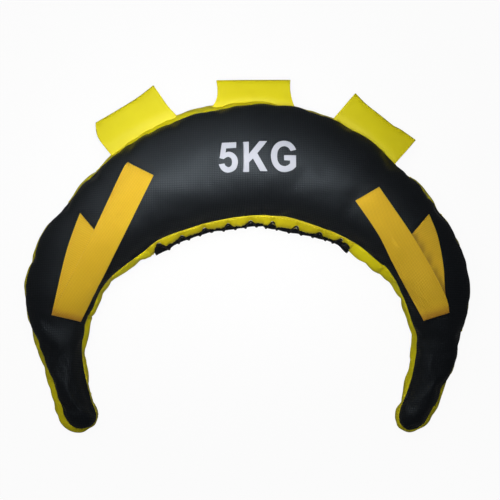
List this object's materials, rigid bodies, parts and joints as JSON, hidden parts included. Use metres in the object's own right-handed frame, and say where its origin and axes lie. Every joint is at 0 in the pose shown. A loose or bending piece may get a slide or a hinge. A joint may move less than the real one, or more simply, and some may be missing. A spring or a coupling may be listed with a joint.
{
  "type": "bulgarian bag",
  "caption": "Horseshoe-shaped padded training weight worn round the neck, with a laced inner opening, folded webbing grips and flat loops along its outer edge.",
  "frame": {"origin": "centre of the bag's box, on the flat underside of the back panel", "axes": "+X to the right of the front panel, +Y towards the top of the arch, +Z out of the front panel"},
  "size_m": [0.5888, 0.4684, 0.1049],
  "materials": {
    "black_leatherette": "satin, with a fine embossed grid",
    "yellow_leatherette": "satin, finely grained",
    "webbing": "woven, matte",
    "black_cord": "braided, matte",
    "nickel": "polished",
    "wadding": "matte",
    "sand_pouch": "matte"
  },
  "bodies": {
    "bag": {"front_panel": "black_leatherette", "back_panel": "black_leatherette", "side_gusset": "yellow_leatherette", "placket_front_flap": "yellow_leatherette", "placket_back_flap": "yellow_leatherette", "lacing_tongue": "black_leatherette", "eyelet_front_1": "nickel", "eyelet_front_2": "nickel", "eyelet_front_3": "nickel", "eyelet_front_4": "nickel", "eyelet_front_5": "nickel", "eyelet_front_6": "nickel", "eyelet_front_7": "nickel", "eyelet_front_8": "nickel", "eyelet_front_9": "nickel", "eyelet_back_1": "nickel", "eyelet_back_2": "nickel", "eyelet_back_3": "nickel", "eyelet_back_4": "nickel", "eyelet_back_5": "nickel", "eyelet_back_6": "nickel", "eyelet_back_7": "nickel", "eyelet_back_8": "nickel", "lace": "black_cord", "grip_left_upper_leg": "webbing", "grip_left_lower_leg": "webbing", "grip_right_upper_leg": "webbing", "grip_right_lower_leg": "webbing", "wadding_lower": "wadding", "wadding_upper": "wadding", "sand_pouch_left": "sand_pouch", "sand_pouch_centre": "sand_pouch", "sand_pouch_right": "sand_pouch"},
    "grip_left": {"grip_left_loop": "webbing"},
    "grip_right": {"grip_right_loop": "webbing"},
    "top_loop_left": {"top_loop_left": "yellow_leatherette"},
    "top_loop_middle": {"top_loop_middle": "yellow_leatherette"},
    "top_loop_right": {"top_loop_right": "yellow_leatherette"}
  },
  "joints": [
    {"name": "grip_left_lift", "type": "hinge", "parent": "bag", "child": "grip_left", "pos_m": [-0.18975, 0.01687, 0.0917], "axis": [-0.9211, 0.3536, 0.1629], "range_deg": [0, 110]},
    {"name": "grip_right_lift", "type": "hinge", "parent": "bag", "child": "grip_right", "pos_m": [0.20195, 0.01494, 0.08751], "axis": [-0.9236, -0.344, -0.169], "range_deg": [0, 110]},
    {"name": "top_loop_left_bend", "type": "hinge", "parent": "bag", "child": "top_loop_left", "pos_m": [-0.14229, 0.16547, 0.0369], "axis": [0.8387, 0.5446, 0], "range_deg": [-20, 20], "stiffness_Nm_per_rad": 0.12},
    {"name": "top_loop_middle_bend", "type": "hinge", "parent": "bag", "child": "top_loop_middle", "pos_m": [0.00792, 0.21078, 0.0393], "axis": [1, 0, 0], "range_deg": [-20, 20], "stiffness_Nm_per_rad": 0.12},
    {"name": "top_loop_right_bend", "type": "hinge", "parent": "bag", "child": "top_loop_right", "pos_m": [0.16255, 0.15612, 0.03637], "axis": [0.7934, -0.6088, 0], "range_deg": [-20, 20], "stiffness_Nm_per_rad": 0.12}
  ]
}
